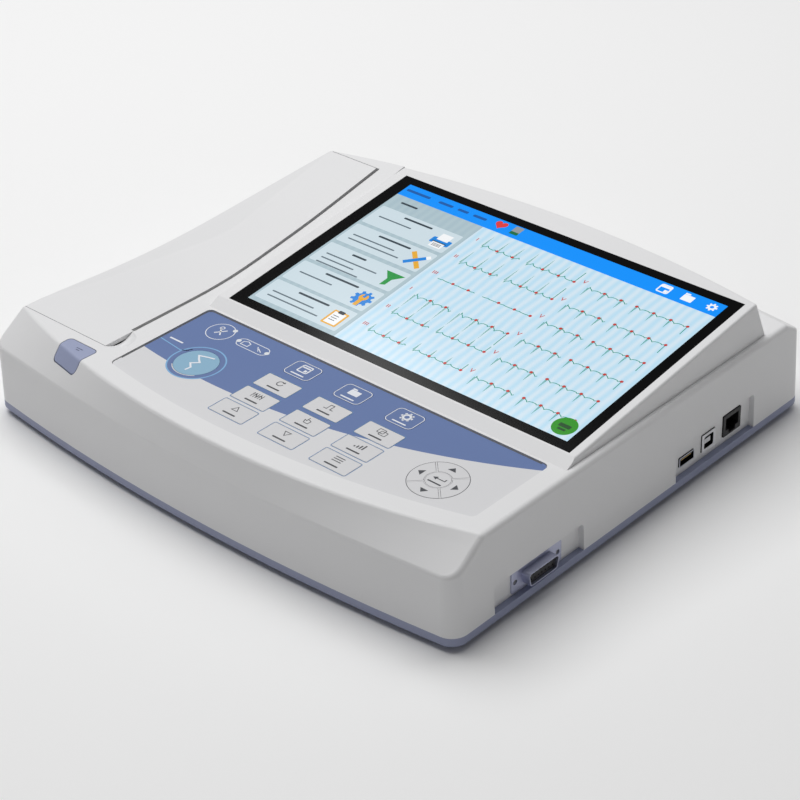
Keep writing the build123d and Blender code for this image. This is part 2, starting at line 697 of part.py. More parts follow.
def coil(start, direction, length, radius, wire, turns):
    """Round-wire compression spring."""
    with BuildPart() as spring:
        with BuildLine():
            path = Helix(length / turns, length, radius, center=start, direction=direction)
        with BuildSketch(Plane(origin=path @ 0, z_dir=path % 0)):
            Circle(wire)
        sweep(path=path, is_frenet=True)
    return spring.part


with BuildPart() as coil_springs:
    for y in (-80, -16, 50):
        add(coil((-95.2, y, 48.5), (1, 0, 0), 6.4, 2.6, 0.35, 4))
    add(coil((-104.3, -138, 40.2), (0, 0, 1), 11.6, 1.8, 0.3, 6))
    add(coil((-112, -148.6, 41.2), (0, 1, 0), 5.6, 1.1, 0.25, 5))

# ---- paper roll and its tray ---------------------------------------------------------
with BuildPart() as paper_tray:
    add(block(-166, -114, -124, 93.5, 9.5, 11.5))
    for x in (-160, -140, -120):
        add(block(x - 1, x + 1, -120, 88, 6, 9.5))
    add(block(-166, -164, -124, 93.5, 9.5, 36))
    add(block(-116, -114, -124, 89, 9.5, 38))
    for y in (-124, 91.5):
        add(block(-166, -120, y, y + 2, 9.5, 36))
    with BuildSketch(Plane.XZ.offset(130)):
        with Locations((ROLL_X, ROLL_Z)):
            Circle(5.05)
        with Locations((ROLL_X, ROLL_Z + 5)):
            Rectangle(10.1, 10)
    extrude(amount=-230, mode=Mode.SUBTRACT)

with BuildPart() as roll_spindle:
    add(rod(ROLL_X, ROLL_Z, -123.8, 93.3, 4.95))
    add(rod(ROLL_X, ROLL_Z, -120.5, 89.5, 6.25))

with BuildPart() as paper_roll:
    add(rod(ROLL_X, ROLL_Z, -120.5, 89.5, ROLL_RADIUS))
    add(rod(ROLL_X, ROLL_Z, -120.5, 89.5, 6.25), mode=Mode.SUBTRACT)

# ---- lid release button and latch ------------------------------------------------------
with BuildPart() as lid_release_button:
    add(button_plan(0, 44.0))
    extrude(amount=20)
    add(OUTER, mode=Mode.INTERSECT)
    add(housing(3.5), mode=Mode.SUBTRACT)
    with BuildSketch(Plane.YZ.offset(-117)):
        Polygon((-136.5, 56), (-136.5, 47.3), (-133, 43.8), (-131.5, 43.8), (-131.5, 56), align=None)
    extrude(amount=9.5)

with BuildPart() as lid_latch:
    add(block(-124, -117.6, -139.5, -127.4, 39.7, 43))
    add(block(-124, -117.6, -131, -127.4, 39.7, 51))
    with BuildSketch(Plane.YZ.offset(-124)):
        Polygon((-131, 48.3), (-131, 51), (-125.6, 51), (-124.1, 49.5), (-124.1, 48.3), align=None)
    extrude(amount=6.4)
    with BuildSketch(Plane.YZ.offset(-117.6)):
        Polygon(
            (-139.5, 39.7), (-139.5, 47.5), (-137, 47.5), (-134, 44.5), (-134, 39.7), align=None,
        )
    extrude(amount=10.6)

# ---- keypad --------------------------------------------------------------------------
with BuildPart() as keypad_overlay:
    add(overlay_face(0.3, OVERLAY_TOP - OVERLAY_THICKNESS))
    extrude(amount=OVERLAY_THICKNESS)
    for kind, x, y in KEYS.values():
        add(key_face(kind, x, y, KEY_GAP, OVERLAY_TOP - 2))
        extrude(amount=4, mode=Mode.SUBTRACT)
    for x, y in LED_POINTS:
        add(peg(x, y, 50, 60, 1.55), mode=Mode.SUBTRACT)


def key_part(kind, x, y):
    """One key: a flat cap flush with the sheet and a round plunger."""
    with BuildPart() as cap:
        add(key_face(kind, x, y, 0, 57.0))
        extrude(amount=OVERLAY_TOP + 0.05 - 57.0)
        sx, sy = stem_point(kind, x, y)
        add(peg(sx, sy, 54.75, 57.2, 3.0))
    return cap.part


with BuildPart() as keypad_board:
    add(block(-85, 151.5, -129, -62, 52.0, 53.6))
    for kind, x, y in KEYS.values():
        sx, sy = stem_point(kind, x, y)
        add(peg(sx, sy, 53.6, 54.1, 3.5))

with BuildPart() as status_leds:
    for x, y in LED_POINTS:
        add(peg(x, y, 53.6, OVERLAY_TOP, 1.5))

# ---- display -------------------------------------------------------------------------
with BuildPart() as display_glass:
    with BuildSketch(GLASS_PLANE.offset(-GLASS_THICKNESS)):
        RectangleRounded(GLASS_WIDTH, GLASS_LENGTH, 1.0)
    extrude(amount=GLASS_THICKNESS)

with BuildPart() as lcd_panel:
    with BuildSketch(GLASS_PLANE.offset(-11.2)):
        Rectangle(239, 147)
    extrude(amount=6.2)

with BuildPart() as display_bracket:
    with BuildSketch(GLASS_PLANE.offset(-12.4)):
        Rectangle(251.2, 147)
        with GridLocations(80, 62, 3, 2):
            RectangleRounded(66, 48, 4, mode=Mode.SUBTRACT)
    extrude(amount=1.2)

# ---- circuit boards --------------------------------------------------------------------
BOARD_THICKNESS = 1.6
BOARD_TOP = STANDOFF_TOP + BOARD_THICKNESS


def bare_board(board):
    """Circuit board standing on the tray's standoffs."""
    x, y, width, depth = board
    return block(x - width / 2, x + width / 2, y - depth / 2, y + depth / 2, STANDOFF_TOP, BOARD_TOP)


with BuildPart() as main_board:
    add(bare_board(MAIN_BOARD))
    add(block(40, 66, 0, 26, BOARD_TOP, BOARD_TOP + 2.2))
    add(block(90, 110, 20, 32, BOARD_TOP, BOARD_TOP + 1.6))
    for x in (-20, 0, 20):
        add(block(x - 5, x + 5, 60, 74, BOARD_TOP, BOARD_TOP + 1.8))
        add(peg(x, -30, BOARD_TOP, BOARD_TOP + 12, 5))

with BuildPart() as supply_board:
    add(bare_board(SUPPLY_BOARD))
    add(block(-24, 4, 106, 130, BOARD_TOP, BOARD_TOP + 26))
    add(block(-56, -50, 106, 130, BOARD_TOP, BOARD_TOP + 22))
    add(peg(24, 118, BOARD_TOP, BOARD_TOP + 30, 10))

with BuildPart() as input_board:
    add(bare_board(INPUT_BOARD))
    for y in (-106, -96, -86, -76):
        add(block(112, 122, y, y + 6, BOARD_TOP, BOARD_TOP + 4))

# ---- side sockets ----------------------------------------------------------------------
FLANGE_FACE = PORT_X + 0.8


def side_block(y, z, width, height, x0, x1, corner):
    """Round-cornered block along X, seen square on from the right."""
    with BuildPart() as solid:
        with BuildSketch(Plane.YZ.offset(x0)):
            with Locations((y, z)):
                RectangleRounded(width, height, corner)
        extrude(amount=x1 - x0)
    return solid.part


def side_rod(y, z, x0, x1, radius):
    """Round bar along X."""
    with BuildPart() as solid:
        with BuildSketch(Plane.YZ.offset(x0)):
            with Locations((y, z)):
                Circle(radius)
        extrude(amount=x1 - x0)
    return solid.part


def d_outline(grow, x):
    """D-shaped mating outline, wide side up."""
    with BuildSketch(Plane.YZ.offset(x)) as face:
        with Locations((PATIENT_Y, PATIENT_Z)):
            Polygon(
                (-12.0 - grow, 4.0 + grow),
                (-10.6 - grow, -4.0 - grow),
                (10.6 + grow, -4.0 - grow),
                (12.0 + grow, 4.0 + grow),
            )
        fillet(face.vertices(), 2.0 + grow)
    return face.sketch


with BuildPart() as patient_connector_shell:
    add(side_block(PATIENT_Y, PATIENT_Z, 39.1, 12.5, PORT_X, FLANGE_FACE, 1.2))
    add(d_outline(0, 164))
    extrude(amount=178 - 164, dir=(1, 0, 0))
    add(d_outline(-0.5, 160))
    extrude(amount=20, dir=(1, 0, 0), mode=Mode.SUBTRACT)
    for y in (PATIENT_Y - 16.66, PATIENT_Y + 16.66):
        add(side_rod(y, PATIENT_Z, PORT_X - 1, PORT_X + 2, 1.5), mode=Mode.SUBTRACT)

with BuildPart() as patient_connector_insert:
    add(d_outline(-0.5, 163))
    extrude(amount=176.4 - 163, dir=(1, 0, 0))
    for count, z in ((8, PATIENT_Z + 1.42), (7, PATIENT_Z - 1.42)):
        for i in range(count):
            y = PATIENT_Y + (i - (count - 1) / 2) * 2.77
            add(side_rod(y, z, 168, 180, 0.55), mode=Mode.SUBTRACT)

with BuildPart() as usb_a_socket:
    usb_y, usb_z = USB_A
    add(side_block(usb_y, usb_z, 13.1, 5.7, 159, FLANGE_FACE, 0.4))
    add(side_block(usb_y, usb_z, 12.3, 4.9, 161, 180, 0.3), mode=Mode.SUBTRACT)
    add(block(160, FLANGE_FACE - 0.8, usb_y - 5.6, usb_y + 5.6, usb_z + 0.2, usb_z + 2.0))

with BuildPart() as usb_b_socket:
    usb_y, usb_z = USB_B
    add(side_block(usb_y, usb_z, 12.1, 11.0, 157, FLANGE_FACE, 0.4))
    add(side_block(usb_y, usb_z, 8.5, 7.8, 160, 180, 1.2), mode=Mode.SUBTRACT)
    add(block(158, FLANGE_FACE - 1.0, usb_y - 2.8, usb_y + 2.8, usb_z - 1.6, usb_z + 1.6))

with BuildPart() as lan_socket:
    lan_y, lan_z = LAN
    add(side_block(lan_y, lan_z, 16.0, 13.4, 152, FLANGE_FACE, 0.4))
    add(side_block(lan_y, lan_z + 0.6, 11.8, 7.6, 158, 180, 0.3), mode=Mode.SUBTRACT)
    add(side_block(lan_y, lan_z - 4.0, 6.0, 3.2, 158, 180, 0.3), mode=Mode.SUBTRACT)

# ---- mains side --------------------------------------------------------------------------


def rear_sketch_plane(y):
    """Upright plane facing the front, at depth y."""
    return Plane.XZ.offset(-y)


with BuildPart() as mains_inlet:
    with BuildSketch(rear_sketch_plane(REAR_PANEL_Y)):
        with Locations(INLET):
            RectangleRounded(31.0, 23.6, 2.4)
    extrude(amount=-1.8)
    with BuildSketch(rear_sketch_plane(125)):
        with Locations(INLET):
            RectangleRounded(27.2, 19.8, 2)
    extrude(amount=-(REAR_PANEL_Y - 125))
    with BuildSketch(rear_sketch_plane(131)):
        with Locations(INLET):
            Polygon(
                (-12.1, -8.0), (12.1, -8.0), (12.1, 4.0), (8.1, 8.0), (-8.1, 8.0), (-12.1, 4.0),
            )
    extrude(amount=-20, mode=Mode.SUBTRACT)

    inlet_x, inlet_z = INLET
    for dx, dz in ((-7, -1), (7, -1), (0, 3)):
        add(block(inlet_x + dx - 1, inlet_x + dx + 1, 131, 144, inlet_z + dz - 2, inlet_z + dz + 2))

ROCKER_TILT = math.radians(8)
rocker_x, rocker_z = ROCKER

with BuildPart() as rocker_housing:
    add(block(rocker_x - 7.6, rocker_x + 7.6, REAR_PANEL_Y, REAR_PANEL_Y + 1.6, rocker_z - 10.8, rocker_z + 10.8))
    add(block(rocker_x - 6.6, rocker_x + 6.6, 130, REAR_PANEL_Y, rocker_z - 9.7, rocker_z + 9.7))
    add(block(rocker_x - 5.5, rocker_x + 5.5, 132, 150, rocker_z - 8.9, rocker_z + 8.9), mode=Mode.SUBTRACT)
    with BuildSketch(Plane.YZ.offset(rocker_x - 6.3)):
        with Locations((143, rocker_z)):
            Circle(1.25)
    extrude(amount=12.6, mode=Mode.SUBTRACT)

rocker_plane = Plane(
    origin=(rocker_x - 5.3, 143, rocker_z),
    x_dir=(0, math.cos(ROCKER_TILT), math.sin(ROCKER_TILT)),
    z_dir=(1, 0, 0),
)
with BuildPart() as power_rocker:
    with BuildSketch(rocker_plane):
        Polygon((-3, -3), (1.5, -7.7), (5.6, -7.9), (4.4, 0), (5.6, 7.9), (1.5, 7.7), (-3, 3), align=None)
    extrude(amount=10.6)
    with BuildSketch(rocker_plane.offset(-0.8)):
        Circle(1.2)
    extrude(amount=12.2)

with BuildPart() as earth_post:
    earth_x, earth_z = EARTH
    add(rod(earth_x, earth_z, 135, 156, 3.0))
    add(rod(earth_x, earth_z, REAR_PANEL_Y, REAR_PANEL_Y + 1.6, 5.0))
    chamfer(earth_post.faces().sort_by(Axis.Y)[-1].edges(), 0.6)

    with BuildSketch(rear_sketch_plane(139)):
        with Locations(EARTH):
            RegularPolygon(5.2, 6)
    extrude(amount=-(REAR_PANEL_Y - WALL - 139))

# ---- feet and screws -----------------------------------------------------------------------
with BuildPart() as rubber_feet:
    for x, y in FEET:
        add(peg(x, y, 0, FOOT_HEIGHT, 8.0))
        add(peg(x, y, 2.0, 4.2, 4.9))


def screw(x, y, seat, shank, shank_radius, head_radius):
    """Upright screw driven from below; the head's bearing face is at height seat."""
    with BuildPart() as fastener:
        add(peg(x, y, seat - 1.8, seat, head_radius))
        add(peg(x, y, seat, seat + shank, shank_radius))
        with BuildSketch(Plane.XY.offset(seat - 1.8)):
            with Locations((x, y)):
                Rectangle(3.2, 0.8)
                Rectangle(0.8, 3.2)
        extrude(amount=1.0, mode=Mode.SUBTRACT)
    return fastener.part


with BuildPart() as housing_screws:
    for x, y in CASE_SCREWS:
        add(screw(x, y, 5.4, 13, 1.5, 2.9))
    for x in DOOR_SCREWS:
        add(screw(x, by, FOOT_HEIGHT, 9, 1.25, 2.5))

# ---- named pieces ----------------------------------------------------------------------------
PIECES = {
    "base_tray": base_tray,
    "top_shell": top_shell,
    "battery_door": battery_door,
    "battery_pack": battery_pack,
    "printer_lid": printer_lid,
    "hinge_pins": hinge_pins,
    "platen_rubber": platen_rubber,
    "platen_shaft": platen_shaft,
    "platen_gear": platen_gear,
    "idler_gear": idler_gear,
    "motor_pinion": motor_pinion,
    "stepper_motor": stepper_motor,
    "motor_bracket": motor_bracket,
    "printhead_ceramic": printhead_ceramic,
    "printhead_heatsink": printhead_heatsink,
    "coil_springs": coil_springs,
    "paper_tray": paper_tray,
    "roll_spindle": roll_spindle,
    "paper_roll": paper_roll,
    "lid_release_button": lid_release_button,
    "lid_latch": lid_latch,
    "keypad_overlay": keypad_overlay,
    "keypad_board": keypad_board,
    "status_leds": status_leds,
    "display_glass": display_glass,
    "lcd_panel": lcd_panel,
    "display_bracket": display_bracket,
    "main_board": main_board,
    "supply_board": supply_board,
    "input_board": input_board,
    "patient_connector_shell": patient_connector_shell,
    "patient_connector_insert": patient_connector_insert,
    "usb_a_socket": usb_a_socket,
    "usb_b_socket": usb_b_socket,
    "lan_socket": lan_socket,
    "mains_inlet": mains_inlet,
    "rocker_housing": rocker_housing,
    "power_rocker": power_rocker,
    "earth_post": earth_post,
    "rubber_feet": rubber_feet,
    "housing_screws": housing_screws,
}
for name, piece in PIECES.items():
    piece.part.label = name
    export_step(piece.part, "parts/" + name + ".step")

for name, (kind, x, y) in KEYS.items():
    key = key_part(kind, x, y)
    key.label = name
    export_step(key, "parts/" + name + ".step")
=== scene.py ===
"""Studio scene of a desktop ECG recorder: materials, screen picture and keypad print.

Metres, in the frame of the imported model: +X right along the front, -Y the front, +Z up.
"""
import math

import bmesh
import bpy
from mathutils import Matrix, Vector


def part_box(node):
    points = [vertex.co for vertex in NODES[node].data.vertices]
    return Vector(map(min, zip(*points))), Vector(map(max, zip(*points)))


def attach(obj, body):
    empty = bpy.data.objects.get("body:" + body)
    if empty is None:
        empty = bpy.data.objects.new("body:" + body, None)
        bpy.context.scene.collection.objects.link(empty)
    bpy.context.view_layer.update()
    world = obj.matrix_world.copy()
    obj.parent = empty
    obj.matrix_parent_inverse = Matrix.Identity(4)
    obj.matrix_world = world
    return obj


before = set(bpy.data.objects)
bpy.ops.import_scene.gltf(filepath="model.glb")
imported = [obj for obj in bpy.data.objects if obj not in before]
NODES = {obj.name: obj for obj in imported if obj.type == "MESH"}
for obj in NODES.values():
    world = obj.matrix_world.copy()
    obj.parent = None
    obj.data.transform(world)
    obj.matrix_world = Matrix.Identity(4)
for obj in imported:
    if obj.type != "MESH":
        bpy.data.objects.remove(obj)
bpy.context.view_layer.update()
MM = 0.001

# ---- key places, read from the frame ---------------------------------------------
TILT = math.radians(7.23)                   # slope of the display glass
GLASS_THICKNESS = 1.8 * MM
PRINT_LIFT = 0.03 * MM                      # printed graphics stand this far proud

glass_low, glass_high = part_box("display_glass")
overlay_low, overlay_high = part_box("keypad_overlay")
GLASS_MIDDLE_X = (glass_low[0] + glass_high[0]) / 2
GLASS_FRONT = Vector((GLASS_MIDDLE_X, glass_low[1], glass_low[2] + GLASS_THICKNESS * math.cos(TILT)))
ALONG_GLASS = Vector((0, math.cos(TILT), math.sin(TILT)))
GLASS_NORMAL = Vector((0, -math.sin(TILT), math.cos(TILT)))
GLASS_HALF_LENGTH = 75.6 * MM
SHEET_BLUE = (98, 121, 172)                 # 8-bit display values of the keypad's blue
OVERLAY_TOP = overlay_high[2]

# ---- camera ---------------------------------------------------------------------------
CAMERA_PLACE = Vector((0.7307, -0.7605, 0.6697))
CAMERA_AZIMUTH = math.radians(43.76)
CAMERA_ELEVATION = math.radians(32.25)
CAMERA_ROLL = math.radians(-2.194)
CAMERA_LENS = 97.81                         # on a 36 mm wide sensor

# ---- light, metres and watts ------------------------------------------------------------
BACKDROP_LIGHT = 0.13                       # share of white the surroundings cast on the machine
KEY_LIGHT_SIZE, KEY_LIGHT_POWER = 2.0, 44
FILL_LIGHT_SIZE, FILL_LIGHT_POWER = 1.2, 6
FLOOR_SIZE = 30
FLOOR_GAP = 0.2 * MM                        # the floor lies this far under the feet


def add_camera():
    """Long-lens view from the front right corner."""
    a, e = CAMERA_AZIMUTH, CAMERA_ELEVATION
    right = Vector((math.cos(a), math.sin(a), 0))
    back = Vector((math.sin(a) * math.cos(e), -math.cos(a) * math.cos(e), math.sin(e)))
    up = back.cross(right)
    turned_right = right * math.cos(CAMERA_ROLL) + up * math.sin(CAMERA_ROLL)
    turned_up = up * math.cos(CAMERA_ROLL) - right * math.sin(CAMERA_ROLL)
    data = bpy.data.cameras.new("camera")
    data.lens = CAMERA_LENS
    data.sensor_width = 36
    data.clip_end = 20
    camera = bpy.data.objects.new("camera", data)
    bpy.context.scene.collection.objects.link(camera)
    camera.matrix_world = Matrix.Translation(CAMERA_PLACE) @ Matrix(
        (turned_right, turned_up, back)
    ).transposed().to_4x4()
    bpy.context.scene.camera = camera


def add_light(name, place, target, size, power):
    """Square area light aimed at a point."""
    data = bpy.data.lights.new(name, "AREA")
    data.shape = "SQUARE"
    data.size = size
    data.energy = power
    light = bpy.data.objects.new(name, data)
    bpy.context.scene.collection.objects.link(light)
    light.location = place
    light.rotation_euler = (Vector(target) - Vector(place)).to_track_quat("-Z", "Y").to_euler()


def add_studio():
    """Pale floor, soft overhead light and a white backdrop that lights the scene only weakly."""
    bpy.ops.mesh.primitive_plane_add(size=FLOOR_SIZE, location=(0, 0, -FLOOR_GAP))
    floor = bpy.context.object
    floor.name = "studio_floor"
    floor.data.materials.append(plain("studio_floor", (0.95, 0.95, 0.95), 0.85))
    world = bpy.data.worlds.new("studio")
    world.use_nodes = True
    tree = world.node_tree
    background = tree.nodes["Background"]
    background.inputs["Color"].default_value = (1, 1, 1, 1)
    path = tree.nodes.new("ShaderNodeLightPath")
    strength = remap(tree, path.outputs["Is Camera Ray"], BACKDROP_LIGHT, 1.0)
    tree.links.new(strength, background.inputs["Strength"])
    bpy.context.scene.world = world
    add_light("key", (-0.8, 0.1, 2.1), (0, 0, 0), KEY_LIGHT_SIZE, KEY_LIGHT_POWER)
    add_light("fill", (0.3, 1.3, 1.9), (0, 0, 0.05), FILL_LIGHT_SIZE, FILL_LIGHT_POWER)
    bpy.context.scene.view_settings.view_transform = "Standard"


# ---- materials ---------------------------------------------------------------------------


def shader(name):
    """New material with its Principled shader and its node tree."""
    material = bpy.data.materials.new(name)
    material.use_nodes = True
    tree = material.node_tree
    return material, tree, tree.nodes["Principled BSDF"]


def plain(name, color, roughness, metallic=0.0):
    """Material with a faint roughness variation, for small or hidden pieces."""
    material, tree, surface = shader(name)
    surface.inputs["Base Color"].default_value = (*color, 1)
    surface.inputs["Metallic"].default_value = metallic
    vary_roughness(tree, surface, roughness, 0.08, 90)
    return material


def object_position(tree):
    """Position on the piece itself, which moves with it."""
    return tree.nodes.new("ShaderNodeTexCoord").outputs["Object"]


def noise(tree, scale, detail=3.0):
    """Noise over the piece's own position."""
    node = tree.nodes.new("ShaderNodeTexNoise")
    node.inputs["Scale"].default_value = scale
    node.inputs["Detail"].default_value = detail
    tree.links.new(object_position(tree), node.inputs["Vector"])
    return node.outputs["Fac"]


def remap(tree, value, low, high):
    """Value from 0..1 stretched to low..high."""
    node = tree.nodes.new("ShaderNodeMapRange")
    node.inputs["To Min"].default_value = low
    node.inputs["To Max"].default_value = high
    tree.links.new(value, node.inputs["Value"])
    return node.outputs["Result"]


def vary_roughness(tree, surface, roughness, spread, scale):
    """Roughness that wanders a little about its middle value."""
    value = remap(tree, noise(tree, scale), roughness - spread, roughness + spread)
    tree.links.new(value, surface.inputs["Roughness"])


def add_grain(tree, surface, scale, depth):
    """Fine moulded texture as a bump."""
    bump = tree.nodes.new("ShaderNodeBump")
    bump.inputs["Strength"].default_value = 0.25
    bump.inputs["Distance"].default_value = depth
    tree.links.new(noise(tree, scale, 2.0), bump.inputs["Height"])
    tree.links.new(bump.outputs["Normal"], surface.inputs["Normal"])


def mottled(tree, color, spread, scale):
    """Colour that drifts slightly in brightness."""
    mix = tree.nodes.new("ShaderNodeMix")
    mix.data_type = "RGBA"
    mix.inputs["A"].default_value = (*(c * (1 - spread) for c in color), 1)
    mix.inputs["B"].default_value = (*(min(1.0, c * (1 + spread)) for c in color), 1)
    tree.links.new(noise(tree, scale), mix.inputs["Factor"])
    return mix.outputs["Result"]


def two_tone(tree, surface, factor, color_off, color_on):
    """One colour where the factor is 0, another where it is 1."""
    mix = tree.nodes.new("ShaderNodeMix")
    mix.data_type = "RGBA"
    mix.inputs["A"].default_value = (*color_off, 1)
    mix.inputs["B"].default_value = (*color_on, 1)
    tree.links.new(factor, mix.inputs["Factor"])
    tree.links.new(mix.outputs["Result"], surface.inputs["Base Color"])


def coordinates(tree):
    """The piece's own X, Y and Z as separate outputs."""
    split = tree.nodes.new("ShaderNodeSeparateXYZ")
    tree.links.new(object_position(tree), split.inputs["Vector"])
    return split.outputs


def math_node(tree, operation, value, number):
    """Result of one sum with a fixed second number."""
    node = tree.nodes.new("ShaderNodeMath")
    node.operation = operation
    node.inputs[1].default_value = number
    tree.links.new(value, node.inputs[0])
    return node.outputs[0]


def moulded(name, color, roughness=0.48, grain=2500, depth=0.00003):
    """Moulded plastic with a spark-eroded grain."""
    material, tree, surface = shader(name)
    tree.links.new(mottled(tree, color, 0.012, 14), surface.inputs["Base Color"])
    vary_roughness(tree, surface, roughness, 0.05, 40)
    add_grain(tree, surface, grain, depth)
    return material


def gloss(name, color, roughness):
    """Plastic or printed ink under a thin clear coat."""
    material, tree, surface = shader(name)
    surface.inputs["Base Color"].default_value = (*color, 1)
    vary_roughness(tree, surface, roughness, 0.02, 30)
    surface.inputs["Coat Weight"].default_value = 0.5
    surface.inputs["Coat Roughness"].default_value = 0.05
    return material


def black_glass():
    """Cover glass with its black printed border, hardly reflecting."""
    material, tree, surface = shader("black_glass")
    surface.inputs["Base Color"].default_value = (*srgb(4, 4, 5), 1)
    surface.inputs["Specular IOR Level"].default_value = 0.18
    vary_roughness(tree, surface, 0.12, 0.02, 30)
    return material


def metal(name, color, roughness):
    """Bare metal with a finely varied roughness."""
    material, tree, surface = shader(name)
    surface.inputs["Base Color"].default_value = (*color, 1)
    surface.inputs["Metallic"].default_value = 1.0
    vary_roughness(tree, surface, roughness, 0.1, 200)
    return material


def glow(name, color, strength):
    """Lit picture element of the screen."""
    material, tree, surface = shader(name)
    surface.inputs["Base Color"].default_value = (*(c * 0.08 for c in color), 1)
    surface.inputs["Emission Color"].default_value = (*color, 1)
    surface.inputs["Emission Strength"].default_value = strength
    surface.inputs["Roughness"].default_value = 0.15
    return material


def srgb(r, g, b):
    """Linear colour from 8-bit display values."""
    def channel(v):
        v /= 255
        return v / 12.92 if v <= 0.04045 else ((v + 0.055) / 1.055) ** 2.4
    return tuple(channel(v) for v in (r, g, b))


# ---- flat drawing ------------------------------------------------------------------------


def on_glass(u, v, lift):
    """Point at u, v millimetres from the middle of the display glass."""
    along = GLASS_HALF_LENGTH + v * MM
    return GLASS_FRONT + Vector((u * MM, 0, 0)) + ALONG_GLASS * along + GLASS_NORMAL * lift


def on_keypad(x, y, lift):
    """Point at x, y millimetres on the keypad sheet."""
    return Vector((x * MM, y * MM, OVERLAY_TOP + lift))


class Drawing:
    """Flat faces of one colour, laid on a surface."""

    def __init__(self, name, place, material, body, layer=1):
        self.name = name
        self.place = place
        self.material = material
        self.body = body
        self.lift = layer * PRINT_LIFT
        self.mesh = bmesh.new()

    def polygon(self, points):
        """Filled polygon, corners anticlockwise."""
        corners = [self.mesh.verts.new(self.place(u, v, self.lift)) for u, v in points]
        self.mesh.faces.new(corners)

    def box(self, u0, v0, u1, v1, radius=0.0):
        """Filled rectangle, with round corners if a radius is given."""
        self.polygon(rounded(u0, v0, u1, v1, radius))

    def disc(self, u, v, radius, steps=40):
        """Filled circle."""
        self.polygon(arc(u, v, radius, 0, 360, steps)[:-1])

    def stroke(self, points, width, closed=False):
        """Line of constant width through the points."""
        points = [Vector(p) for p in points]
        count = len(points)
        sides = []
        for i, point in enumerate(points):
            before = points[(i - 1) % count] if closed or i else point
            after = points[(i + 1) % count] if closed or i < count - 1 else point
            first = (point - before).normalized()
            second = (after - point).normalized()
            mean = (first + second).normalized()
            normal = Vector((-mean.y, mean.x))
            known = first if first.length else second
            stretch = 1 / max(0.35, abs(normal.dot(Vector((-known.y, known.x)))))
            offset = normal * width / 2 * stretch
            left = self.mesh.verts.new(self.place(*(point + offset), self.lift))
            right = self.mesh.verts.new(self.place(*(point - offset), self.lift))
            sides.append((left, right))
        for i in range(count if closed else count - 1):
            left, right = sides[i]
            next_left, next_right = sides[(i + 1) % count]
            self.mesh.faces.new((right, next_right, next_left, left))

    def done(self):
        """Puts the drawing in the scene, riding on its body."""
        data = bpy.data.meshes.new(self.name)
        bmesh.ops.recalc_face_normals(self.mesh, faces=self.mesh.faces)
        for face in self.mesh.faces:
            if face.normal.z < 0:
                face.normal_flip()
        self.mesh.to_mesh(data)
        self.mesh.free()
        piece = bpy.data.objects.new(self.name, data)
        bpy.context.scene.collection.objects.link(piece)
        data.materials.append(self.material)
        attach(piece, self.body)
        return piece


def arc(u, v, radius, start, end, steps=24):
    """Points along a circular arc, angles in degrees."""
    return [
        (
            u + radius * math.cos(math.radians(start + (end - start) * i / steps)),
            v + radius * math.sin(math.radians(start + (end - start) * i / steps)),
        )
        for i in range(steps + 1)
    ]


def rounded(u0, v0, u1, v1, radius, steps=6):
    """Corners of a rectangle, rounded if a radius is given."""
    if not radius:
        return [(u0, v0), (u1, v0), (u1, v1), (u0, v1)]
    points = []
    centres = ((u1 - radius, v0 + radius, -90), (u1 - radius, v1 - radius, 0),
               (u0 + radius, v1 - radius, 90), (u0 + radius, v0 + radius, 180))
    for u, v, start in centres:
        points += arc(u, v, radius, start, start + 90, steps)
    return points


def moved(points, u, v, scale=1.0):
    """Points scaled and shifted."""
    return [(u + x * scale, v + y * scale) for x, y in points]


def gear_outline(teeth, inner, outer):
    """Outline of a cog wheel about the origin."""
    points = []
    for i in range(teeth):
        for share, radius in ((-0.32, inner), (-0.18, outer), (0.18, outer), (0.32, inner)):
            angle = (i + share) * 2 * math.pi / teeth
            points.append((radius * math.cos(angle), radius * math.sin(angle)))
    return points


# ---- screen picture ------------------------------------------------------------------------
LIT_LEFT, LIT_RIGHT = -114.7, 117.1
LIT_FRONT, LIT_REAR = -69.4, 69.4
BAR_FRONT = 57.6
MENU_RIGHT = -47.0
CARD_LEFT, CARD_RIGHT = -113.0, -49.8
CARD_TOPS = (43.4, 21.0, -1.8, -24.2, -46.4)
CARD_HEIGHT = 19.6
TITLE_LEFT, TEXT_LEFT = -93, -107.5
TITLE_LENGTHS = (22, 25, 11, 26, 24)
ICON_MIDDLE = -58.0                         # the cards' icons stand in one column
TRACE_ROWS = (42.2, 22.6, 3.8, -15.4, -35.2, -54.4)
LIMB_START, CHEST_START = -35.0, 42.6
BEAT = 11.4                                 # distance between heart beats
SECOND_RUN = 33.2                           # from the start of a row to its second run of beats
TRACE_WIDTH = 0.5
BEAT_MARKS = (11.2, 22.6, 33.4, 44.8, 56.2, 67.4)
LIMB_SPIKES = (10.8, 12.6, 0.0, -12.0, 6.0, 6.4)
CHEST_SPIKES = (-7.4, -7.6, -7.6, -7.4, -7.2, -7.4)


def screen(name, color, layer, strength=0.9):
    """Drawing in one lit colour on the display glass."""
    material = glow("screen_" + name, srgb(*color), strength)
    return Drawing("screen_" + name, on_glass, material, "housing", layer)


def beat_points(u, v, spike):
    """One heart beat: spike, dip, a rounded recovery wave and the small wave before the next."""
    lift = 0.09 * abs(spike) + 0.25
    turn = 1 if spike >= 0 else -1
    return [
        (u, v), (u + 0.4, v + spike), (u + 0.8, v - 0.12 * spike), (u + 1.5, v),
        (u + 2.6, v + turn * lift * 0.4), (u + 3.6, v + turn * lift * 1.5), (u + 4.6, v + turn * lift * 0.5),
        (u + 6.0, v), (u + 8.6, v), (u + 9.4, v + turn * lift * 0.7), (u + 10.2, v), (u + 11.0, v),
    ]


